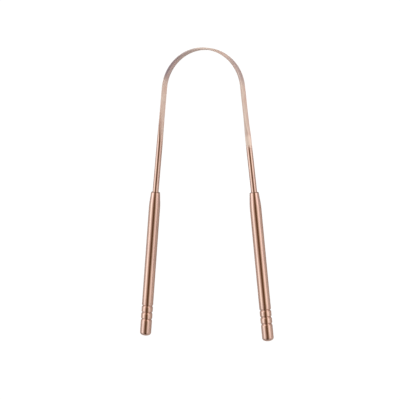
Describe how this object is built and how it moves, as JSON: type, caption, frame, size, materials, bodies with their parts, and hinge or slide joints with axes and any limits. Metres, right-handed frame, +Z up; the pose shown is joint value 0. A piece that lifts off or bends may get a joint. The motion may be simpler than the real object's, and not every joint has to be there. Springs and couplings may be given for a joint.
{
  "type": "tongue scraper",
  "caption": "Tongue scraper: a bow of round wire rolled flat round its arch, with a slim tubular handle swaged onto each end and closed by a domed end plug.",
  "frame": {"origin": "on the surface that the scraper lies on, under the middle of its outline", "axes": "+Y from the handles to the arch, +X to the side of the right handle, +Z up, square to the plane of the bow"},
  "size_m": [0.076, 0.153, 0.006],
  "materials": {
    "copper_wire": "rolled and polished copper",
    "copper_tube": "polished copper",
    "copper_bar": "polished copper",
    "brass_bush": "turned"
  },
  "bodies": {
    "root": {"scraper_bow": "copper_wire", "left_handle": "copper_tube", "right_handle": "copper_tube", "left_end_plug": "copper_bar", "right_end_plug": "copper_bar", "left_wire_bush": "brass_bush", "right_wire_bush": "brass_bush"}
  },
  "joints": []
}
